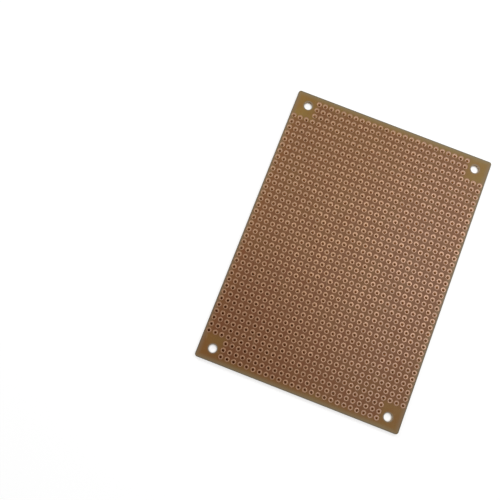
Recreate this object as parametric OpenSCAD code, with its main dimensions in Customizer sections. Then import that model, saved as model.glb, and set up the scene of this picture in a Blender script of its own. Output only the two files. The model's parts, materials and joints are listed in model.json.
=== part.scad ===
// Prototype board with a round copper pad for every component lead.
//
// A sheet of phenolic paper laminate is punched on a square grid of lead holes. Each hole comes up
// through the middle of its own copper pad, and no pad touches another, so the builder makes every
// connection. The four corners have no pads, and a mounting hole each.
//
// Sizes are in millimetres. The board lies on its plain face with the copper up: the origin is the
// centre of the plain face, +X runs across the board, +Y runs along it and +Z points out of the
// copper face. Rows run across the board and are numbered from the -Y end.

/* [Board] */
// Width of the board, along X
board_w = 79.4; // [60:0.1:120]
// Length of the board, along Y
board_l = 110; // [80:0.1:150]
// Thickness of the laminate
board_t = 1.6; // [0.8:0.1:3.2]
// Radius of the board's four corners
corner_r = 1; // [0.2:0.1:3]

/* [Lead holes and pads] */
// Spacing of the lead holes, the same along X and Y
pitch = 2.54; // [2.2:0.01:5.08]
// Diameter of a lead hole
lead_hole_d = 1; // [0.6:0.05:1.3]
// Outer diameter of a copper pad
pad_d = 2; // [1.5:0.05:2.1]
// Thickness of the copper foil
foil_t = 0.035; // [0.018:0.001:0.105]
// Least bare laminate between the outermost pads and the long sides
side_bare = 0.5; // [0.3:0.1:5]
// Least bare laminate between the outermost pads and the short ends
end_bare = 1.5; // [0.3:0.1:10]

/* [Mounting holes] */
// Diameter of a mounting hole, a clearance hole for an M3 screw
mount_hole_d = 3.2; // [2.2:0.1:5]
// Distance of a mounting hole's centre from the long side
mount_inset_x = 5.4; // [4:0.1:10]
// Distance of a mounting hole's centre from the short end
mount_inset_y = 4.8; // [4:0.1:10]
// Least bare laminate between a mounting hole and the pads beside it, along X and along Y
mount_bare = 0.8; // [0.3:0.05:5]

/* [Hidden] */
// Steps in a full circle
$fn = 72;
// How far a cutter runs past the faces that it goes through
through = 1;

// The grid holds as many columns and rows as fit, and is centred on the board
columns = floor((board_w - 2 * side_bare - pad_d) / pitch) + 1;
rows = floor((board_l - 2 * end_bare - pad_d) / pitch) + 1;

// Places of the mounting holes, from the middle of the board
mount_x = board_w / 2 - mount_inset_x;
mount_y = board_l / 2 - mount_inset_y;

// Nearest that a pad's centre comes to the middle of a mounting hole, along X or along Y
mount_keep = mount_hole_d / 2 + mount_bare + pad_d / 2;

// The name of the node that holds one row's pads
function pads_name(row) = str("pads_row_", row < 10 ? "0" : "", row);

// Where a column or a row of the grid crosses the axes
function column_x(column) = (column - (columns + 1) / 2) * pitch;
function row_y(row) = (row - (rows + 1) / 2) * pitch;

// A corner of the grid, from a mounting hole's clear square outwards, has no lead holes
function in_corner(x, y) = abs(x) > mount_x - mount_keep && abs(y) > mount_y - mount_keep;

// The x of every lead hole in one row
function lead_xs(row) = [
    for (column = [1:columns])
        if (!in_corner(column_x(column), row_y(row))) column_x(column)
];

// The board's outline, a rectangle with round corners
module outline() {
    square([board_w - 2 * corner_r, board_l], center = true);
    square([board_w, board_l - 2 * corner_r], center = true);
    for (x = [-1, 1], y = [-1, 1])
        translate([x * (board_w / 2 - corner_r), y * (board_l / 2 - corner_r)])
            circle(r = corner_r);
}

// The lead holes of one row, as circles
module lead_holes(row) {
    for (x = lead_xs(row))
        translate([x, row_y(row)])
            circle(d = lead_hole_d);
}

// The four mounting holes, as circles
module mounting_holes() {
    for (x = [-mount_x, mount_x], y = [-mount_y, mount_y])
        translate([x, y])
            circle(d = mount_hole_d);
}

// The punched sheet
module laminate() {
    color([0.52, 0.41, 0.24])
        linear_extrude(height = board_t)
            difference() {
                outline();
                for (row = [1:rows]) lead_holes(row);
                mounting_holes();
            }
}

// The copper pads of one row, each a separate ring of foil bonded to the sheet
module pads(row) {
    color([0.75, 0.52, 0.40])
        for (x = lead_xs(row))
            translate([x, row_y(row), board_t])
                difference() {
                    cylinder(d = pad_d, h = foil_t);
                    translate([0, 0, -through])
                        cylinder(d = lead_hole_d, h = foil_t + 2 * through);
                }
}

laminate();
for (row = [1:rows])
    pads(row);
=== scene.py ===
# %% [markdown]
# # A prototype board with round copper pads
# The board is a thin sheet of phenolic paper: kraft paper soaked in brown resin and pressed hard. A
# press punches a square grid of holes through it, and every hole comes up through a small ring of
# copper foil. Component leads are pushed in from the plain face and soldered to the rings.
#
# The engineering model comes first. It is the fixed frame of this scene: it holds every size and
# place, and all that follows is finish on it or stands exactly where it says.

# %% Load the frame
import json
import math
import random

import bpy
from mathutils import Matrix, Vector


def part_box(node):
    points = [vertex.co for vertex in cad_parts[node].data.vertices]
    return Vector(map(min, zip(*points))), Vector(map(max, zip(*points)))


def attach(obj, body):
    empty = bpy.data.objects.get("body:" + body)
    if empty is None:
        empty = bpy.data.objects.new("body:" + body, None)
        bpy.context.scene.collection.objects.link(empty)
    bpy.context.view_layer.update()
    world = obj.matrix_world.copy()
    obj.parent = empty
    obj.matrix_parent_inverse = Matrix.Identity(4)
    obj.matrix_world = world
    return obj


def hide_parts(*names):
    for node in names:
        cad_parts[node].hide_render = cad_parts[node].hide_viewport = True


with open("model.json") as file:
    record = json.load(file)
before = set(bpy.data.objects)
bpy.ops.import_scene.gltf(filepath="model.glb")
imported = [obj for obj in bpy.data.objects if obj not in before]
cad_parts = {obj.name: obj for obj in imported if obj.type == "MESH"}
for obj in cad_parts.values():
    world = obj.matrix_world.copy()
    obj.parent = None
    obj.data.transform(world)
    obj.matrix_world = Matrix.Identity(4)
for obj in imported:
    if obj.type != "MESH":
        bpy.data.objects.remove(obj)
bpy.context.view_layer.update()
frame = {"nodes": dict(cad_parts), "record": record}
print("nodes in the frame:", len(frame["nodes"]))

# %% [markdown]
# ## Sizes, read from the frame
# The copper pads lie in rows, and each row is one node. A row's box gives its place along the board,
# two rows give the pitch, and the box's length gives the number of pads in the row. The drilled sizes
# are in the record, as the dimensions of the mounts. Nothing is measured twice, so the finish follows
# if the board is ever made larger.

# %% Sizes of the board, the grid and the foil
MM = 0.001
record = frame["record"]
mounts = {mount["name"]: mount for mount in record["mounts"]}

board_low, board_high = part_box("laminate")
half_width = board_high.x
half_length = board_high.y
board_top = board_high.z

row_names = sorted(name for name in frame["nodes"] if name.startswith("pads_row_"))
row_boxes = [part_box(name) for name in row_names]
row_places = [(low.y + high.y) / 2 for low, high in row_boxes]
pitch = (row_places[-1] - row_places[0]) / (len(row_places) - 1)
pad_radius = round((row_boxes[0][1].y - row_boxes[0][0].y) / 2 / MM, 1) * MM
foil = row_boxes[0][1].z - board_top
hole_radius = mounts["lead_hole"]["dims"]["r_mm"] * MM

mount_x = mounts["mounting_holes"]["dims"]["spacing_x_mm"] * MM / 2
mount_y = mounts["mounting_holes"]["dims"]["spacing_y_mm"] * MM / 2
mount_radius = mounts["mounting_holes"]["dims"]["hole_r_mm"] * MM


def row_columns(low, high):
    """The x of every pad in a row whose box is given."""
    count = round((high.x - low.x - 2 * pad_radius) / pitch) + 1
    middle = (low.x + high.x) / 2
    return [middle + (i - (count - 1) / 2) * pitch for i in range(count)]


columns = [row_columns(low, high) for low, high in row_boxes]
widest = max(columns, key=len)
print("rows:", len(row_names), " pads:", sum(len(row) for row in columns))
print("pitch mm:", round(pitch / MM, 3), " pad radius mm:", round(pad_radius / MM, 3))

# %% [markdown]
# The four corners have no pads. The short rows show how far each bare corner reaches, and that gives
# the outline of the pad field: a rectangle with a square step at each corner. The finish of the sheet
# changes inside it, because the etched resin between the pads is darker than the bare margins.

# %% Outline of the pad field
field_x = widest[-1]
field_y = row_places[-1]
step_x = min(row[-1] for row in columns)
step_y = max(place for place, row in zip(row_places, columns) if len(row) == len(widest))
print("field mm:", round(field_x / MM, 2), round(field_y / MM, 2))

# %% [markdown]
# ## Camera
# The board is seen almost straight down, from a point just past its near end and left of its middle,
# with a lens a little longer than normal. The view is turned slightly, so the board lies aslant, and
# the camera aims left of it. Seen from that point, the far walls of the punched holes show and the
# near ones don't. Near and far here mean the -Y and the +Y end of the board.
#
# A camera looks along its own -Z, with +Y up. Aiming it with `to_track_quat` keeps the horizon level,
# and one turn about its own Z then gives the slant.

# %% Place the camera
CAMERA_PLACE = Vector((-23.8, -67.4, 315.0)) * MM
CAMERA_AIM = Vector((-34.8, -11.0, 0.0)) * MM
CAMERA_LENS = 61.5
CAMERA_SENSOR = 36.0
CAMERA_TURN = math.radians(10.31)
CAMERA_CLIP = 10 * MM

on_top = Vector((0, 0, board_top))
camera_data = bpy.data.cameras.new("camera")
camera_data.lens = CAMERA_LENS
camera_data.sensor_width = CAMERA_SENSOR
camera_data.clip_start = CAMERA_CLIP
camera = bpy.data.objects.new("camera", camera_data)
bpy.context.scene.collection.objects.link(camera)
bpy.context.scene.camera = camera
camera.location = CAMERA_PLACE + on_top
camera.rotation_mode = "QUATERNION"
level = (CAMERA_AIM - CAMERA_PLACE).to_track_quat("-Z", "Y")
camera.rotation_quaternion = level @ Matrix.Rotation(CAMERA_TURN, 3, "Z").to_quaternion()
bpy.context.scene.view_settings.view_transform = "Standard"
axes = camera.rotation_quaternion.to_matrix()
print("camera right:", [round(v, 4) for v in axes.col[0]], "up:", [round(v, 4) for v in axes.col[1]])

# %% [markdown]
# ## Light
# A soft lamp hangs close over the board, just far enough to the right that the copper mirrors it
# most at the right of the middle. A second one, farther off on the left, fills in from the other
# side, and the world gives the rest evenly. Together they light a surface that faces up at about the
# level where a colour renders as it is written.

# %% Hang the lamps
BENCH_LAMP = {"place": (0.08, 0.07, 0.25), "size": 0.12, "power": 0.35}
SIDE_LAMP = {"place": (-0.45, 0.35, 0.50), "size": 0.30, "power": 2.0}


def soft_lamp(name, place, size, power):
    """A square area lamp aimed at the middle of the board. Its size makes its shadows soft."""
    light = bpy.data.lights.new(name, "AREA")
    light.shape = "SQUARE"
    light.size = size
    light.energy = power
    lamp = bpy.data.objects.new(name, light)
    bpy.context.scene.collection.objects.link(lamp)
    lamp.location = place
    lamp.rotation_mode = "QUATERNION"
    lamp.rotation_quaternion = (-Vector(place)).to_track_quat("-Z", "Y")
    return lamp


for name, values in (("bench lamp", BENCH_LAMP), ("side lamp", SIDE_LAMP)):
    lamp = soft_lamp(name, **values)
    print(name, "m from the middle of the board:", round(lamp.location.length, 2))

# %% [markdown]
# ## Helpers for shader nodes
# A material is a small program drawn as a graph. These helpers add one node at a time, so that the
# graphs below read like formulas: an input is either a value, which is set on the socket, or another
# node's output, which is linked to it.

# %% Node helpers
def join(tree, value, target):
    """Links an output socket to the target, or sets the target's own value."""
    if isinstance(value, bpy.types.NodeSocket):
        tree.links.new(value, target)
    else:
        target.default_value = value


def node(tree, kind, inputs=None, **settings):
    """A new node, with its settings and then its inputs."""
    made = tree.nodes.new("ShaderNode" + kind)
    for name, value in settings.items():
        setattr(made, name, value)
    for key, value in (inputs or {}).items():
        join(tree, value, made.inputs[key])
    return made


def split(tree, vector):
    """A vector's x, y and z."""
    return node(tree, "SeparateXYZ", {"Vector": vector}).outputs


def scaled(tree, vector, scale):
    """A vector with each part multiplied by that part of the scale."""
    return node(tree, "VectorMath", {0: vector, 1: scale}, operation="MULTIPLY").outputs[0]


def calc(tree, operation, *values, clamp=False):
    """One Math node's result."""
    inputs = dict(enumerate(values))
    return node(tree, "Math", inputs, operation=operation, use_clamp=clamp).outputs[0]


def times(tree, *factors):
    """All the factors multiplied together."""
    product = factors[0]
    for factor in factors[1:]:
        product = calc(tree, "MULTIPLY", product, factor)
    return product


def rest_of(tree, mask):
    """What a mask from 0 to 1 leaves over."""
    return calc(tree, "SUBTRACT", 1.0, mask)


def length(tree, x, y):
    """The length of a step of x across and y along."""
    return calc(tree, "SQRT", calc(tree, "ADD", times(tree, x, x), times(tree, y, y)))


helpers = (join, node, split, scaled, calc, times, rest_of, length)
print("node helpers:", [helper.__name__ for helper in helpers])

# %% [markdown]
# Most masks start as a distance or a noise, which is then cut off softly between two levels. Colours
# are laid over each other by such masks, the way a painter glazes.

# %% Mask and colour helpers
def ramp(tree, value, low, high):
    """0 below low, 1 above high, and smooth between. low may be the greater one, to turn it round."""
    inputs = {"Value": value, "From Min": low, "From Max": high}
    return node(tree, "MapRange", inputs, interpolation_type="SMOOTHSTEP").outputs[0]


def spread(tree, value, low, high):
    """A mask from 0 to 1 stretched to run from low to high."""
    inputs = {"Value": value, "To Min": low, "To Max": high}
    return node(tree, "MapRange", inputs).outputs[0]


MIX_FACTOR, MIX_A, MIX_B, MIX_RESULT = 0, 6, 7, 2


def blend(tree, factor, first, second, how="MIX"):
    """Two colours mixed by a factor. A Mix node keeps its colour sockets at these fixed numbers."""
    inputs = {MIX_FACTOR: factor, MIX_A: first, MIX_B: second}
    made = node(tree, "Mix", inputs, data_type="RGBA", blend_type=how)
    return made.outputs[MIX_RESULT]


def noise(tree, vector, size, detail=2.0, roughness=0.5):
    """Cloudy noise whose blotches are about size metres across."""
    inputs = {"Vector": vector, "Scale": 1 / size, "Detail": detail, "Roughness": roughness}
    return node(tree, "TexNoise", inputs).outputs["Fac"]


def turned(tree, place, degrees):
    """The place turned about Z."""
    inputs = {"Vector": place, "Rotation": (0, 0, math.radians(degrees))}
    return node(tree, "Mapping", inputs).outputs[0]


helpers = (ramp, spread, blend, noise, turned)
print("mask and colour helpers:", [helper.__name__ for helper in helpers])

# %% [markdown]
# A node group is a shader function. Its sockets are made on the group's interface, and the same group
# can then work in several materials with different values.

# %% Group helpers
def new_group(name, inputs, outputs):
    """An empty node group, with its input and output nodes. inputs maps a name to (kind, default)."""
    tree = bpy.data.node_groups.new(name, "ShaderNodeTree")
    for socket, (kind, default) in inputs.items():
        made = tree.interface.new_socket(socket, in_out="INPUT", socket_type="NodeSocket" + kind)
        if default is not None:
            made.default_value = default
    for socket, kind in outputs.items():
        tree.interface.new_socket(socket, in_out="OUTPUT", socket_type="NodeSocket" + kind)
    return tree, tree.nodes.new("NodeGroupInput").outputs, tree.nodes.new("NodeGroupOutput").inputs


def use_group(tree, group, inputs):
    """The outputs of a group placed in a material."""
    made = tree.nodes.new("ShaderNodeGroup")
    made.node_tree = group
    for key, value in inputs.items():
        join(tree, value, made.inputs[key])
    return made.outputs


print("group helpers:", new_group.__name__, use_group.__name__)

# %% [markdown]
# ## The grid, as a shader function
# Both the sheet and the copper change around every lead hole: the resin pales where the punch
# strained it, and the foil darkens at the rim. Painting that by hand a thousand times isn't needed.
# The grid repeats, so the nearest hole's centre is found by rounding the place to whole pitches. The
# group gives the distance from that centre, and two random values that are the same all over one
# cell, so that no two pads look quite alike.

# %% Group: lead hole grid
def make_grid_group():
    """Distance from the nearest lead hole's axis in metres, and random values for its cell."""
    sockets = {
        "Place": ("Vector", None),
        "Pitch": ("Float", pitch),
        "Column": ("Float", widest[0]),
        "Row": ("Float", row_places[0]),
    }
    results = {"Distance": "Float", "Cell Value": "Float", "Other Cell Value": "Float"}
    tree, given, result = new_group("lead hole grid", sockets, results)
    x, y, _ = split(tree, given["Place"])
    off_centre, cells = [], []
    for along, start in ((x, given["Column"]), (y, given["Row"])):
        steps = calc(tree, "DIVIDE", calc(tree, "SUBTRACT", along, start), given["Pitch"])
        cell = calc(tree, "ROUND", steps)
        cells.append(cell)
        off_centre.append(calc(tree, "SUBTRACT", steps, cell))
    join(tree, times(tree, length(tree, *off_centre), given["Pitch"]), result["Distance"])
    cell_place = node(tree, "CombineXYZ", {"X": cells[0], "Y": cells[1]}).outputs[0]
    random_value = node(tree, "TexWhiteNoise", {"Vector": cell_place}, noise_dimensions="2D")
    join(tree, random_value.outputs["Value"], result["Cell Value"])
    other = split(tree, random_value.outputs["Color"])[1]
    join(tree, other, result["Other Cell Value"])
    return tree


grid_group = make_grid_group()
print("group:", grid_group.name)

# %% [markdown]
# ## Grain
# Kraft paper has long fibres, and rolled foil has fine drawn lines. Both are noise that is squeezed
# far more across than along. One group makes them, given the length and the width of a streak, and
# the levels of the noise where a streak starts and where it is full.

# %% Group: grain
def make_grain_group():
    """Streaks along X: 0 between them and 1 on them. Turn the place first to slant them."""
    sockets = {
        "Place": ("Vector", None),
        "Length": ("Float", 2 * MM),
        "Width": ("Float", 0.1 * MM),
        "Start": ("Float", 0.5),
        "Full": ("Float", 0.7),
    }
    tree, given, result = new_group("grain", sockets, {"Streaks": "Float"})
    per_length = calc(tree, "DIVIDE", 1.0, given["Length"])
    per_width = calc(tree, "DIVIDE", 1.0, given["Width"])
    scale = node(tree, "CombineXYZ", {"X": per_length, "Y": per_width, "Z": per_width}).outputs[0]
    cloud = noise(tree, scaled(tree, given["Place"], scale), 1.0, detail=3.0)
    join(tree, ramp(tree, cloud, given["Start"], given["Full"]), result["Streaks"])
    return tree


grain_group = make_grain_group()
print("group:", grain_group.name)

# %% [markdown]
# ## Marks of handling
# Boards lie in stacks and slide on each other. That leaves hair scratches in a few directions and
# specks of dust and swarf. Both surfaces carry them, so this is a group too. Scratches are thin
# contour lines of a stretched noise, broken up by a second noise, and specks are the middles of a
# sparse cell pattern. A pair of levels says where each of these masks starts and where it is full.

# %% Group: handling marks
SCRATCH_TURNS = (12, 74, 131)
SCRATCH_SPACING = 1.6 * MM
SCRATCH_STRETCH = 40
SCRATCH_CONTOUR = 0.5
SCRATCH_LINE = (0.012, 0.002)
BREAK_SIZE = 9 * MM
BREAK_LEVELS = (0.55, 0.68)
SPECK_SPACING = 1.9 * MM
SPECK_REACH = (0.075, 0.035)
SPECK_CHOICE = (0.80, 0.82)


def hair_lines(tree, place, degrees):
    """Thin broken lines in one direction."""
    slanted = turned(tree, place, degrees)
    scale = (1 / (SCRATCH_STRETCH * SCRATCH_SPACING), 1 / SCRATCH_SPACING, 1 / SCRATCH_SPACING)
    height = noise(tree, scaled(tree, slanted, scale), 1.0, detail=0.0)
    from_contour = calc(tree, "ABSOLUTE", calc(tree, "SUBTRACT", height, SCRATCH_CONTOUR))
    broken = ramp(tree, noise(tree, slanted, BREAK_SIZE, detail=1.0), *BREAK_LEVELS)
    return times(tree, ramp(tree, from_contour, *SCRATCH_LINE), broken)


def make_marks_group():
    """Scratches and specks, each a mask."""
    results = {"Scratches": "Float", "Specks": "Float"}
    tree, given, result = new_group("handling marks", {"Place": ("Vector", None)}, results)
    lines = [hair_lines(tree, given["Place"], turn) for turn in SCRATCH_TURNS]
    both = calc(tree, "MAXIMUM", lines[0], lines[1])
    join(tree, calc(tree, "MAXIMUM", both, lines[2]), result["Scratches"])
    cells = node(tree, "TexVoronoi", {"Vector": given["Place"], "Scale": 1 / SPECK_SPACING})
    near = ramp(tree, cells.outputs["Distance"], *SPECK_REACH)
    chosen = ramp(tree, split(tree, cells.outputs["Color"])[0], *SPECK_CHOICE)
    join(tree, times(tree, near, chosen), result["Specks"])
    return tree


marks_group = make_marks_group()
print("group:", marks_group.name)

# %% [markdown]
# ## The phenolic sheet
# The sheet stays as the engineering model has it, and gets its finish from object coordinates, which
# are metres in the board's own frame. The finish is built up as the real sheet is:
#
# * olive-brown resin in soft clouds, painted lighter toward the far end as painted light, with
#   pale and dark paper fibres in it;
# * inside the pad field, the darker and redder resin that etching leaves between the pads;
# * a tone that drifts from left to right, pales along the left side, and dulls at the near left
#   corner;
# * on the plain face, a faint pale ring around each hole, where the pad behind it shows through;
# * a crushed, grey rim around each mounting hole;
# * walls that show the layers of paper, painted pale inside the holes as painted light, where
#   light soaks through;
# * a film of dust toward the outline, and a darker, uneven line on the sheared edge itself.

# %% Material helpers
def new_material(name):
    """A material with a Principled BSDF, its node tree and the BSDF's inputs."""
    material = bpy.data.materials.new(name)
    material.use_nodes = True
    tree = material.node_tree
    return material, tree, tree.nodes["Principled BSDF"].inputs


def object_place(tree):
    """Object coordinates: metres in the board's frame, because no object here is moved."""
    return node(tree, "TexCoord").outputs["Object"]


print("material helpers:", new_material.__name__, object_place.__name__)

# %% [markdown]
# Masks say where each part of the finish goes. A rectangle's mask comes from how far a place lies
# past its nearest side, and the stepped pad field is two rectangles joined. The surface's direction
# tells the faces and the walls apart: up, down or sideways.

# %% Masks on the sheet
FIELD_FADE_OUT = 0.8 * MM
FIELD_FADE_IN = 2.6 * MM
FACE_TURN = (0.5, 0.9)
WALL_TURN = (0.7, 0.3)


def past_sides(tree, x, y, side_x, side_y):
    """How far the place lies outside a centred rectangle, negative inside it."""
    past_x = calc(tree, "SUBTRACT", calc(tree, "ABSOLUTE", x), side_x)
    past_y = calc(tree, "SUBTRACT", calc(tree, "ABSOLUTE", y), side_y)
    return calc(tree, "MAXIMUM", past_x, past_y)


def past_field(tree, x, y, reach):
    """How far the place lies outside the pad field, widened by the reach, negative inside it."""
    wide = past_sides(tree, x, y, field_x + reach, step_y + reach)
    tall = past_sides(tree, x, y, step_x + reach, field_y + reach)
    return calc(tree, "MINIMUM", wide, tall)


def mounting_distance(tree, x, y):
    """Distance from the axis of the nearest mounting hole. All four are one, seen by size of x and y."""
    from_x = calc(tree, "SUBTRACT", calc(tree, "ABSOLUTE", x), mount_x)
    from_y = calc(tree, "SUBTRACT", calc(tree, "ABSOLUTE", y), mount_y)
    return length(tree, from_x, from_y)


def near_radius(tree, distance, radius, width):
    """1 at the radius, fading to 0 a width outside it."""
    return ramp(tree, distance, radius + width, radius)


def sheet_masks(tree, place):
    """The masks and distances that the sheet's finish is made from."""
    x, y, _ = split(tree, place)
    up = split(tree, node(tree, "NewGeometry").outputs["Normal"])[2]
    grid = use_group(tree, grid_group, {"Place": place})
    return {
        "x": x,
        "y": y,
        "copper face": ramp(tree, up, *FACE_TURN),
        "plain face": ramp(tree, calc(tree, "MULTIPLY", up, -1.0), *FACE_TURN),
        "wall": ramp(tree, calc(tree, "ABSOLUTE", up), *WALL_TURN),
        "field": ramp(tree, past_field(tree, x, y, pitch / 2), FIELD_FADE_OUT, -FIELD_FADE_IN),
        "past outline": past_sides(tree, x, y, half_width, half_length),
        "to hole": grid["Distance"],
        "cell": grid["Cell Value"],
        "to mount": mounting_distance(tree, x, y),
    }


print("the field's edge fades over mm:", round((FIELD_FADE_OUT + FIELD_FADE_IN) / MM, 2))

# %% [markdown]
# One function tones both the copper and the sheet under it. The board is warmer on its left, and
# darker and redder toward the near left corner.

# %% Tone by place
WARM_SIDE = (1.00, 0.96, 0.88, 1)
COOL_SIDE = (1.00, 0.99, 1.04, 1)
SIDE_DRIFT = (-0.3 * half_width, 0.8 * half_width)
CORNER_TINT = (0.91, 0.83, 0.78, 1)
CORNER_REACH = (75 * MM, 12 * MM)


def corner_distance(tree, x, y):
    """Distance from the near left corner of the board."""
    return length(tree, calc(tree, "ADD", x, half_width), calc(tree, "ADD", y, half_length))


def side_and_corner_tone(tree, x, y, colour):
    """The colour toned by place: warmer on the left, darker and redder at the near left corner."""
    side = blend(tree, ramp(tree, x, *SIDE_DRIFT), WARM_SIDE, COOL_SIDE)
    colour = blend(tree, 1.0, colour, side, how="MULTIPLY")
    toward_near_corner = ramp(tree, corner_distance(tree, x, y), *CORNER_REACH)
    return blend(tree, toward_near_corner, colour, CORNER_TINT, how="MULTIPLY")


print("the corner's tone reaches mm:", round(CORNER_REACH[0] / MM, 1))

# %% [markdown]
# The resin comes first. The bare margins are olive, the etched field is darker and redder, and both
# are painted lighter toward the far end, as painted light, and paler along the left side. Large
# clouds pale it, small ones deepen it, and fibres cross it in three directions.

# %% Colour of the resin
# Near and far are shaded and lit copies of each colour: painted light, lighter toward the far end.
RESIN_NEAR_SHADED = (0.200, 0.095, 0.0165, 1)
RESIN_FAR_LIT = (0.222, 0.120, 0.0222, 1)
ETCHED_NEAR_SHADED = (0.170, 0.0625, 0.0165, 1)
ETCHED_FAR_LIT = (0.179, 0.0705, 0.0187, 1)
RESIN_PLAIN = (0.190, 0.101, 0.0222, 1)
PALE_SIDE = (1.12, 1.11, 1.09, 1)
PALE_SIDE_REACH = (-half_width + 7 * MM, -half_width + 1.5 * MM)
PALE_TINT = (1.02, 1.15, 1.10, 1)
PALE_SIZE = 7 * MM
PALE_LEVELS = (0.40, 0.75)
DEEP_TINT = (1.00, 0.84, 0.72, 1)
DEEP_SIZE = 2.2 * MM
DEEP_LEVELS = (0.50, 0.78)
FIBRE_PALE = (0.30, 0.19, 0.09, 1)
FIBRE_DARK = (0.10, 0.060, 0.024, 1)
FIBRES = ((8, FIBRE_PALE, 0.42), (97, FIBRE_PALE, 0.32), (48, FIBRE_DARK, 0.36))
FIBRE_SHAPE = {"Length": 1.8 * MM, "Width": 0.10 * MM, "Start": 0.60, "Full": 0.74}


def resin_colour(tree, place, masks):
    """Resin by place and face, with painted light toward the far end, in clouds, with paper fibres."""
    # Painted light: the resin gets lighter toward the far end.
    along = ramp(tree, masks["y"], -half_length, half_length)
    margin = blend(tree, along, RESIN_NEAR_SHADED, RESIN_FAR_LIT)
    etched = blend(tree, along, ETCHED_NEAR_SHADED, ETCHED_FAR_LIT)
    colour = blend(tree, times(tree, masks["field"], masks["copper face"]), margin, etched)
    by_left_side = ramp(tree, masks["x"], *PALE_SIDE_REACH)
    colour = blend(tree, by_left_side, colour, PALE_SIDE, how="MULTIPLY")
    colour = blend(tree, masks["plain face"], colour, RESIN_PLAIN)
    pale = noise(tree, place, PALE_SIZE, detail=3.0)
    colour = blend(tree, ramp(tree, pale, *PALE_LEVELS), colour, PALE_TINT, how="MULTIPLY")
    deep = noise(tree, place, DEEP_SIZE, detail=4.0, roughness=0.65)
    colour = blend(tree, ramp(tree, deep, *DEEP_LEVELS), colour, DEEP_TINT, how="MULTIPLY")
    for turn, fibre, strength in FIBRES:
        streaks = use_group(tree, grain_group, {"Place": turned(tree, place, turn)} | FIBRE_SHAPE)
        colour = blend(tree, times(tree, streaks["Streaks"], strength), colour, fibre)
    return side_and_corner_tone(tree, masks["x"], masks["y"], colour)


print("fibre directions:", [turn for turn, fibre, strength in FIBRES])

# %% [markdown]
# Punching and printing leave their marks on the faces. The pads show through the sheet as pale rings,
# a little blurred, on the plain face, and the punch crushes the resin grey around a mounting hole.

# %% Rings on the plain face, and crushed rims
HALO = (0.310, 0.203, 0.083, 1)
HALO_OUTSIDE = (1.10 * MM, 0.70 * MM)
HALO_INSIDE = (0.50 * MM, 0.62 * MM)
HALO_STRENGTH = (0.25, 0.75)
CRUSHED = (0.240, 0.208, 0.160, 1)
CRUSHED_STRENGTH = 0.65
CRUSHED_WIDTH = 0.45 * MM
ROUND_RIM = 0.10 * MM


def punched_colour(tree, masks, colour):
    """The colour with the pads' rings and the mounting holes' rims on it."""
    outside = ramp(tree, masks["to hole"], *HALO_OUTSIDE)
    inside = ramp(tree, masks["to hole"], *HALO_INSIDE)
    strength = spread(tree, masks["cell"], *HALO_STRENGTH)
    ring = times(tree, outside, inside, masks["plain face"], masks["field"], strength)
    colour = blend(tree, ring, colour, HALO)
    rim = near_radius(tree, masks["to mount"], mount_radius + ROUND_RIM, CRUSHED_WIDTH)
    return blend(tree, times(tree, rim, CRUSHED_STRENGTH), colour, CRUSHED)


print("ring strength:", HALO_STRENGTH)

# %% [markdown]
# A cut shows the layers of paper as fine level stripes. They are noise squeezed in Z. Light soaks
# through the thin webs between the lead holes, so the walls there are painted pale, as painted light,
# and so are the mounting holes' walls. The outline's walls aren't, even where the grid would have
# its next hole.

# %% Colour of the cut walls
CUT_WALL = (0.34, 0.20, 0.095, 1)
HOLE_WALL_LIT = (0.84, 0.585, 0.31, 1)
HOLE_WALL_START = 0.12 * MM
HOLE_WALL_WIDTH = 0.10 * MM
INSIDE_OUTLINE = (-0.10 * MM, -0.30 * MM)
MOUNT_WALL_LIT = (0.66, 0.52, 0.35, 1)
MOUNT_WALL_WIDTH = 0.20 * MM
LAYER_SIZE = 0.9 * MM
LAYER_SQUEEZE = (1, 1, 12)
PALE_LAYERS = (0.35, 0.70)
PALE_LAYER_STRENGTH = 0.4
DARK_LAYERS = (0.50, 0.36)
DARK_LAYER_STRENGTH = 0.6


def paper_layers(tree, place):
    """Noise squeezed into level stripes."""
    return noise(tree, scaled(tree, place, LAYER_SQUEEZE), LAYER_SIZE, detail=3.0)


def cut_colour(tree, masks, layers):
    """A cut wall's colour: brown at the outline, painted light in the holes, striped by the layers."""
    in_hole = times(
        tree,
        near_radius(tree, masks["to hole"], hole_radius + HOLE_WALL_START, HOLE_WALL_WIDTH),
        ramp(tree, masks["past outline"], *INSIDE_OUTLINE),
    )
    # Painted light: the walls of the lead holes and the mounting holes are painted pale.
    cut = blend(tree, in_hole, CUT_WALL, HOLE_WALL_LIT)
    at_mount = near_radius(tree, masks["to mount"], mount_radius + ROUND_RIM, MOUNT_WALL_WIDTH)
    cut = blend(tree, at_mount, cut, MOUNT_WALL_LIT)
    cut = blend(tree, times(tree, ramp(tree, layers, *PALE_LAYERS), PALE_LAYER_STRENGTH), cut, FIBRE_PALE)
    strength = spread(tree, in_hole, DARK_LAYER_STRENGTH, 0.0)
    return blend(tree, times(tree, ramp(tree, layers, *DARK_LAYERS), strength), cut, FIBRE_DARK)


print("layers mm thick, about:", round(LAYER_SIZE / LAYER_SQUEEZE[2] / MM, 3))

# %% [markdown]
# A film of dust lies along the outline, grey at the ends and browner along the sides. The sheared edge
# itself is darker, in an uneven line. Both are weaker on the wall than on the face.

# %% Film and darker edge at the outline
END_FILM = (0.230, 0.184, 0.104, 1)
SIDE_FILM = (0.215, 0.152, 0.095, 1)
FILM_ENDS = (half_length - 3 * MM, half_length - 1 * MM)
FILM_REACH = (-2.2 * MM, -0.2 * MM)
FILM_STRENGTH = (0.55, 0.15)
DARK_EDGE = (0.105, 0.105, 0.078, 1)
DARK_EDGE_REACH = (-0.50 * MM, -0.10 * MM)
DARK_EDGE_SIZE = 0.8 * MM
DARK_EDGE_STRENGTH = (0.42, 0.85)
DARK_EDGE_ON_WALL = 0.25


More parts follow.
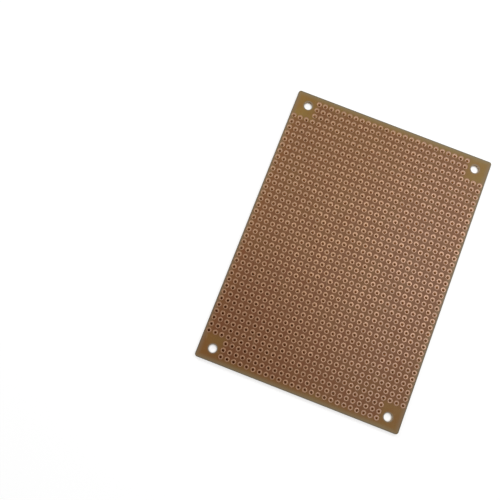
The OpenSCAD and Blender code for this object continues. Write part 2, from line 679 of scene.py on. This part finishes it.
def film_and_dark_edge(tree, place, masks, colour):
    """The colour with a film of dust and a darker edge toward the outline."""
    at_end = ramp(tree, calc(tree, "ABSOLUTE", masks["y"]), *FILM_ENDS)
    film_colour = blend(tree, at_end, SIDE_FILM, END_FILM)
    film = ramp(tree, masks["past outline"], *FILM_REACH)
    film = times(tree, film, spread(tree, masks["wall"], *FILM_STRENGTH))
    colour = blend(tree, film, colour, film_colour)
    uneven = spread(tree, noise(tree, place, DARK_EDGE_SIZE, detail=3.0), *DARK_EDGE_STRENGTH)
    dark_edge = times(tree, ramp(tree, masks["past outline"], *DARK_EDGE_REACH), uneven)
    return blend(tree, times(tree, dark_edge, spread(tree, masks["wall"], 1.0, DARK_EDGE_ON_WALL)), colour, DARK_EDGE)


print("the film reaches in mm:", round(-FILM_REACH[0] / MM, 1))

# %% [markdown]
# Gloss and relief come next. The pressed faces have a dull, patchy shine and the cut walls have
# hardly any. The relief is the press's texture, a slow wave, scratches, and the paper's layers on the
# walls. Each is a few thousandths of a millimetre high, or a few hundredths for the layers.

# %% Roughness and relief of the sheet
SHEET_ROUGHNESS = (0.42, 0.60)
ROUGH_PATCH = 5 * MM
WALL_ROUGHER = 0.30
SPECK_ROUGHER = 0.2
PRESS_TEXTURE = (0.22 * MM, 0.30)
SLOW_WAVE = (3 * MM, 1.2)
SCRATCH_DEPTH = 0.5
LAYER_DEPTH = 2.5
SHEET_RELIEF = 0.012 * MM


def sheet_roughness(tree, place, masks, specks):
    """Patchy on the faces, and rougher on the walls and under specks."""
    patches = noise(tree, place, ROUGH_PATCH, detail=3.0)
    rough = spread(tree, patches, *SHEET_ROUGHNESS)
    rough = calc(tree, "ADD", rough, times(tree, masks["wall"], WALL_ROUGHER))
    return calc(tree, "ADD", rough, times(tree, specks, SPECK_ROUGHER), clamp=True)


def sheet_normal(tree, place, masks, layers, scratches):
    """The surface's direction, bumped by the relief."""
    height = 0.0
    for size, share in (PRESS_TEXTURE, SLOW_WAVE):
        height = calc(tree, "ADD", height, times(tree, noise(tree, place, size, detail=2.0), share))
    height = calc(tree, "SUBTRACT", height, times(tree, scratches, SCRATCH_DEPTH))
    height = calc(tree, "ADD", height, times(tree, layers, masks["wall"], LAYER_DEPTH))
    return node(tree, "Bump", {"Distance": SHEET_RELIEF, "Height": height}).outputs[0]


print("relief mm:", round(SHEET_RELIEF / MM, 4))

# %% [markdown]
# The sheet's material puts them together. The shader's constant values are set on its own sockets.
# Only what changes over the surface comes in through links.

# %% Material: phenolic sheet
DUST = (0.45, 0.40, 0.32, 1)
SCRATCH_ON_SHEET = 0.35
DUST_ON_SHEET = 0.50
SHEET_SPECULAR = 0.30


def make_sheet_material():
    """Phenolic paper laminate."""
    material, tree, shader = new_material("phenolic sheet")
    place = object_place(tree)
    masks = sheet_masks(tree, place)
    marks = use_group(tree, marks_group, {"Place": place})
    layers = paper_layers(tree, place)

    colour = punched_colour(tree, masks, resin_colour(tree, place, masks))
    colour = blend(tree, masks["wall"], colour, cut_colour(tree, masks, layers))
    colour = film_and_dark_edge(tree, place, masks, colour)
    colour = blend(tree, times(tree, marks["Scratches"], SCRATCH_ON_SHEET), colour, FIBRE_PALE)
    colour = blend(tree, times(tree, marks["Specks"], DUST_ON_SHEET), colour, DUST)
    join(tree, colour, shader["Base Color"])

    join(tree, sheet_roughness(tree, place, masks, marks["Specks"]), shader["Roughness"])
    join(tree, sheet_normal(tree, place, masks, layers, marks["Scratches"]), shader["Normal"])
    shader["Specular IOR Level"].default_value = SHEET_SPECULAR
    return material


sheet_material = make_sheet_material()
sheet = frame["nodes"]["laminate"]
sheet.material_slots[0].material = sheet_material
print("sheet nodes:", len(sheet_material.node_tree.nodes))

# %% [markdown]
# ## Copper
# The foil is bare metal under a thin coat of flux lacquer, a dull salmon colour. It is darker right
# at the hole, where fingers and flux have worked in, and where the etchant nibbled the outer edge.
# Each pad has its own tone, because the lacquer pools differently on each. Small blots of tarnish and
# the foil's drawn lines break up the shine.

# %% Colour of the copper
COPPER = (0.400, 0.243, 0.150, 1)
COPPER_BRIGHT = (0.474, 0.296, 0.193, 1)
COPPER_DULL = (0.368, 0.220, 0.133, 1)
BRIGHT_SIZE = 1.1 * MM
BRIGHT_LEVELS = (0.45, 0.75)
DRAWN_SHAPE = {"Length": 1.4 * MM, "Width": 0.035 * MM, "Start": 0.45, "Full": 0.75}
DRAWN_TURN = 90
DRAWN_STRENGTH = 0.40
SCRATCH_ON_COPPER = 0.5
TARNISH = (0.19, 0.095, 0.045, 1)
INNER_RIM = (0.66 * MM, 0.50 * MM)
INNER_STRENGTH = 0.65
OUTER_RIM = (pad_radius - 0.14 * MM, pad_radius)
OUTER_STRENGTH = 0.45
BLOT_SIZE = 0.38 * MM
BLOT_LEVELS = (0.54, 0.68)
BLOT_STRENGTH = (0.12, 0.50)


def copper_colour(tree, place, grid, drawn, stained, scratches):
    """Salmon foil, brighter in clouds, drawn lines and scratches, and tarnished at its rims."""
    colour = blend(tree, grid["Cell Value"], COPPER_DULL, COPPER)
    bright = noise(tree, place, BRIGHT_SIZE, detail=3.0)
    colour = blend(tree, ramp(tree, bright, *BRIGHT_LEVELS), colour, COPPER_BRIGHT)
    colour = blend(tree, times(tree, drawn, DRAWN_STRENGTH), colour, COPPER_BRIGHT)
    inner = times(tree, ramp(tree, grid["Distance"], *INNER_RIM), INNER_STRENGTH)
    outer = times(tree, ramp(tree, grid["Distance"], *OUTER_RIM), OUTER_STRENGTH)
    colour = blend(tree, calc(tree, "MAXIMUM", inner, outer), colour, TARNISH)
    colour = blend(tree, stained, colour, TARNISH)
    colour = blend(tree, times(tree, scratches, SCRATCH_ON_COPPER), colour, COPPER_BRIGHT)
    x, y, _ = split(tree, place)
    return side_and_corner_tone(tree, x, y, colour)


def copper_stains(tree, place, grid):
    """Blots of tarnish, stronger on some pads than on others."""
    blots = noise(tree, place, BLOT_SIZE, detail=4.0, roughness=0.75)
    strength = spread(tree, grid["Other Cell Value"], *BLOT_STRENGTH)
    return times(tree, ramp(tree, blots, *BLOT_LEVELS), strength)


print("blot strength:", BLOT_STRENGTH)

# %% [markdown]
# Stains take the shine off, and the drawn lines add some. The relief is half as deep as the sheet's:
# the foil's tooth, the drawn lines and scratches.

# %% Material: copper foil
COPPER_ROUGHNESS = (0.56, 0.63)
STAIN_ROUGHER = 0.25
DRAWN_SMOOTHER = 0.14
LACQUER_WEIGHT = 0.8
LACQUER_ROUGHNESS = 0.5
TOOTH_SIZE = 0.06 * MM
TOOTH_DEPTH = 0.5
DRAWN_DEPTH = 0.4
FOIL_SCRATCH_DEPTH = 0.6
FOIL_RELIEF = 0.006 * MM


def copper_roughness(tree, grid, drawn, stained):
    """Each pad a little its own, rougher in stains and smoother on the drawn lines."""
    rough = spread(tree, grid["Other Cell Value"], *COPPER_ROUGHNESS)
    rough = calc(tree, "ADD", rough, times(tree, stained, STAIN_ROUGHER))
    return calc(tree, "SUBTRACT", rough, times(tree, drawn, DRAWN_SMOOTHER), clamp=True)


def copper_normal(tree, place, drawn, scratches):
    """The surface's direction, bumped by the relief."""
    tooth = noise(tree, place, TOOTH_SIZE, detail=2.0)
    height = calc(tree, "ADD", times(tree, tooth, TOOTH_DEPTH), times(tree, drawn, DRAWN_DEPTH))
    height = calc(tree, "SUBTRACT", height, times(tree, scratches, FOIL_SCRATCH_DEPTH))
    return node(tree, "Bump", {"Distance": FOIL_RELIEF, "Height": height}).outputs[0]


def make_copper_material():
    """Etched copper foil."""
    material, tree, shader = new_material("copper foil")
    place = object_place(tree)
    grid = use_group(tree, grid_group, {"Place": place})
    scratches = use_group(tree, marks_group, {"Place": place})["Scratches"]
    drawn = use_group(tree, grain_group, {"Place": turned(tree, place, DRAWN_TURN)} | DRAWN_SHAPE)["Streaks"]
    stained = copper_stains(tree, place, grid)

    colour = copper_colour(tree, place, grid, drawn, stained, scratches)
    join(tree, colour, shader["Base Color"])
    join(tree, copper_roughness(tree, grid, drawn, stained), shader["Roughness"])
    join(tree, copper_normal(tree, place, drawn, scratches), shader["Normal"])
    shader["Metallic"].default_value = 1.0
    shader["Coat Weight"].default_value = LACQUER_WEIGHT
    shader["Coat Roughness"].default_value = LACQUER_ROUGHNESS
    return material


copper_material = make_copper_material()
print("copper nodes:", len(copper_material.node_tree.nodes))

# %% [markdown]
# ## The pads
# In the engineering model a pad is a flat ring. A real one is softer. The punch draws the foil down
# into the hole. The etchant eats the outer edge, a little more across the board than along it, so the
# edge is rounded and not quite true. The print that masked the copper was also never quite in line
# with the punch, so each ring is thicker on one side.
#
# A pad is made by carrying a cross-section around the hole. The section's points are given as steps
# out from the hole's wall or in from the outer edge, and as shares of the foil's thickness.

# %% Shape of one pad
SIDES = 28
SECTION_AT_HOLE = ((0.0, 0.0), (0.0, 0.40), (0.035 * MM, 0.62), (0.095 * MM, 0.90), (0.16 * MM, 1.0))
SECTION_AT_EDGE = ((-0.045 * MM, 1.0), (-0.014 * MM, 0.80), (0.0, 0.35), (-0.004 * MM, 0.0))
PRINT_SHIFT_NEAR = Vector((0.0, 0.06)) * MM
PRINT_SHIFT_FAR = Vector((0.0, 0.28)) * MM
SHIFT_SCATTER = 0.030 * MM
EDGE_WANDER = 0.016 * MM
EATEN_ACROSS = 0.040 * MM
WANDER_WAVES = (2, 3, 5)


def edge_wander(angle, waves):
    """How far the etched edge strays in or out at this angle."""
    return sum(size * math.sin(count * angle + phase) for count, size, phase in waves)


def foil_pad(x, y, chance):
    """Points and faces of one pad, a closed ring around the hole at x, y."""
    along = (y - board_low.y) / (board_high.y - board_low.y)
    shift = PRINT_SHIFT_NEAR.lerp(PRINT_SHIFT_FAR, along)
    shift += Vector((chance.gauss(0, 1), chance.gauss(0, 1))) * SHIFT_SCATTER
    waves = [(count, chance.uniform(-1, 1) * EDGE_WANDER / 2, chance.uniform(0, math.tau))
             for count in WANDER_WAVES]
    points = []
    for side in range(SIDES):
        angle = math.tau * side / SIDES
        out = Vector((math.cos(angle), math.sin(angle)))
        edge_radius = pad_radius - EDGE_WANDER - EATEN_ACROSS * out.x ** 2
        edge_radius += shift.dot(out) + edge_wander(angle, waves)
        section = [(hole_radius + step, share) for step, share in SECTION_AT_HOLE]
        section += [(edge_radius + step, share) for step, share in SECTION_AT_EDGE]
        for radius, share in section:
            points.append((x + out.x * radius, y + out.y * radius, board_top + foil * share))
    across = len(SECTION_AT_HOLE) + len(SECTION_AT_EDGE)
    faces = []
    for side in range(SIDES):
        here, ahead = side * across, (side + 1) % SIDES * across
        for step in range(across):
            follow = (step + 1) % across
            faces.append((here + step, ahead + step, ahead + follow, here + follow))
    return points, faces


sample_points, sample_faces = foil_pad(0, 0, random.Random(1))
print("a pad has", len(sample_points), "points and", len(sample_faces) * 2, "triangles")

# %% [markdown]
# Each row of pads is one object, which stands for that row's node. The faces meet at a crease only
# where the foil ends, so they are smooth except at sharp angles.

# %% Make the rows
CREASE = math.radians(50)


def pad_row(name, xs, y):
    """All the pads of one row, as one object."""
    chance = random.Random(name)
    points, faces = [], []
    for x in xs:
        pad_points, pad_faces = foil_pad(x, y, chance)
        start = len(points)
        points += pad_points
        faces += [tuple(start + corner for corner in face) for face in pad_faces]
    mesh = bpy.data.meshes.new(name + "_foil")
    mesh.from_pydata(points, [], faces)
    mesh.polygons.foreach_set("use_smooth", [True] * len(mesh.polygons))
    mesh.set_sharp_from_angle(angle=CREASE)
    mesh.materials.append(copper_material)
    piece = bpy.data.objects.new(name + "_foil", mesh)
    bpy.context.scene.collection.objects.link(piece)
    return piece


for name, xs, y in zip(row_names, columns, row_places):
    piece = pad_row(name, xs, y)
    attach(piece, "root")
    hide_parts(name)
print("rows made:", len(row_names))

# %% [markdown]
# ## Floor
# The floor is a pale table. To the camera it is mostly an even white of its own, with a share that is
# lit, so it comes out white and still takes the board's soft shadow. Far off, where the lamps don't
# reach, its own white grows to make up for them, and it fades toward the wall of a mounting hole, where
# little light gets in. It isn't sampled as a lamp, because it lights nothing.
#
# A real board never lies perfectly flat, and the light that goes down its holes is lost in the gap
# beneath. This one does lie flat, so that shade is painted on the floor: brown under the grid, and
# darkest by the near left corner, as if that corner lay on something dark.

# %% Lay the floor
FLOOR_SIZE = 3.0
FLOOR_COLOUR = (0.82, 0.82, 0.82, 1)
FLOOR_TO_CAMERA = (0.35, 0.35, 0.35, 1)
OWN_WHITE_NEAR = 0.75
OWN_WHITE_FAR = 0.92
WHITE_FADE = (0.15, 0.60)
# Painted shade: the floor under the grid is painted brown, darkest by the near left corner.
GAP_SHADE_DARK = (0.33, 0.135, 0.045, 1)
GAP_SHADE_PALE = (0.70, 0.46, 0.27, 1)
GAP_FADE = (15 * MM, 62 * MM)
GAP_EDGE = (0.2 * MM, 0.0)
BELOW_BOARD = (0.0, -0.5 * MM)
WELL_SHADE = (mount_radius - 0.6 * MM, mount_radius)
WELL_STRENGTH = 0.5
FLOOR_DROP = 0.01 * MM


def make_floor_material():
    """Pale table, with painted shade where the grid covers it."""
    material = bpy.data.materials.new("floor")
    material.use_nodes = True
    material.cycles.emission_sampling = "NONE"
    tree = material.node_tree
    tree.nodes.clear()
    place = object_place(tree)
    x, y, _ = split(tree, place)
    under = ramp(tree, past_field(tree, x, y, pad_radius), *GAP_EDGE)
    # Painted shade for the gap under the grid.
    gap_shade = blend(tree, ramp(tree, corner_distance(tree, x, y), *GAP_FADE), GAP_SHADE_DARK, GAP_SHADE_PALE)
    rays = node(tree, "LightPath").outputs
    seen = calc(tree, "MAXIMUM", rays["Is Camera Ray"], rays["Is Glossy Ray"])
    seen = calc(tree, "MAXIMUM", seen, rays["Is Transmission Ray"])
    to_light = node(tree, "BsdfDiffuse", {"Color": blend(tree, under, FLOOR_COLOUR, gap_shade)})
    to_eye = node(tree, "BsdfDiffuse", {"Color": blend(tree, under, FLOOR_TO_CAMERA, gap_shade)})
    away = node(tree, "VectorMath", {0: place}, operation="LENGTH").outputs["Value"]
    own_white = spread(tree, ramp(tree, away, *WHITE_FADE), OWN_WHITE_NEAR, OWN_WHITE_FAR)
    below = ramp(tree, past_sides(tree, x, y, half_width, half_length), *BELOW_BOARD)
    by_wall = ramp(tree, mounting_distance(tree, x, y), *WELL_SHADE)
    shade = times(tree, below, by_wall, WELL_STRENGTH)
    own_white = times(tree, own_white, rest_of(tree, under), rest_of(tree, shade))
    own = node(tree, "Emission", {"Strength": own_white})
    to_eye = node(tree, "AddShader", {0: to_eye.outputs[0], 1: own.outputs[0]})
    both = node(tree, "MixShader", {0: seen, 1: to_light.outputs[0], 2: to_eye.outputs[0]})
    join(tree, both.outputs[0], node(tree, "OutputMaterial").inputs["Surface"])
    return material


def make_floor():
    """A flat square that the board lies on."""
    side = FLOOR_SIZE / 2
    mesh = bpy.data.meshes.new("floor")
    corners = [(-side, -side, 0), (side, -side, 0), (side, side, 0), (-side, side, 0)]
    mesh.from_pydata(corners, [], [(0, 1, 2, 3)])
    mesh.materials.append(make_floor_material())
    floor = bpy.data.objects.new("floor", mesh)
    bpy.context.scene.collection.objects.link(floor)
    return floor


floor = make_floor()
floor.location.z = board_low.z - FLOOR_DROP
print("floor side m:", FLOOR_SIZE)

# %% [markdown]
# ## World
# The world lights the board with an even grey, and is white to the camera. Reflections show it as a
# studio: the walls are as white as they look, and the ceiling is as dim as the light it gives. In a
# world, generated coordinates are the direction looked in, so their z tells walls from ceiling.

# %% Light the world
WORLD_LEVEL = 0.30
WALL_FADE = (0.55, 0.25)


def make_world():
    """White to the camera, grey as a light, and white walls in reflections."""
    world = bpy.data.worlds.new("studio")
    bpy.context.scene.world = world
    world.use_nodes = True
    tree = world.node_tree
    tree.nodes.clear()
    rays = node(tree, "LightPath").outputs
    up = split(tree, node(tree, "TexCoord").outputs["Generated"])[2]
    mirrored = calc(tree, "MAXIMUM", rays["Is Glossy Ray"], rays["Is Transmission Ray"])
    walls = times(tree, mirrored, ramp(tree, up, *WALL_FADE))
    white = calc(tree, "MAXIMUM", rays["Is Camera Ray"], walls)
    strength = calc(tree, "MAXIMUM", white, WORLD_LEVEL)
    background = node(tree, "Background", {"Color": (1, 1, 1, 1), "Strength": strength})
    join(tree, background.outputs[0], node(tree, "OutputWorld").inputs["Surface"])


make_world()
print("world level:", WORLD_LEVEL)
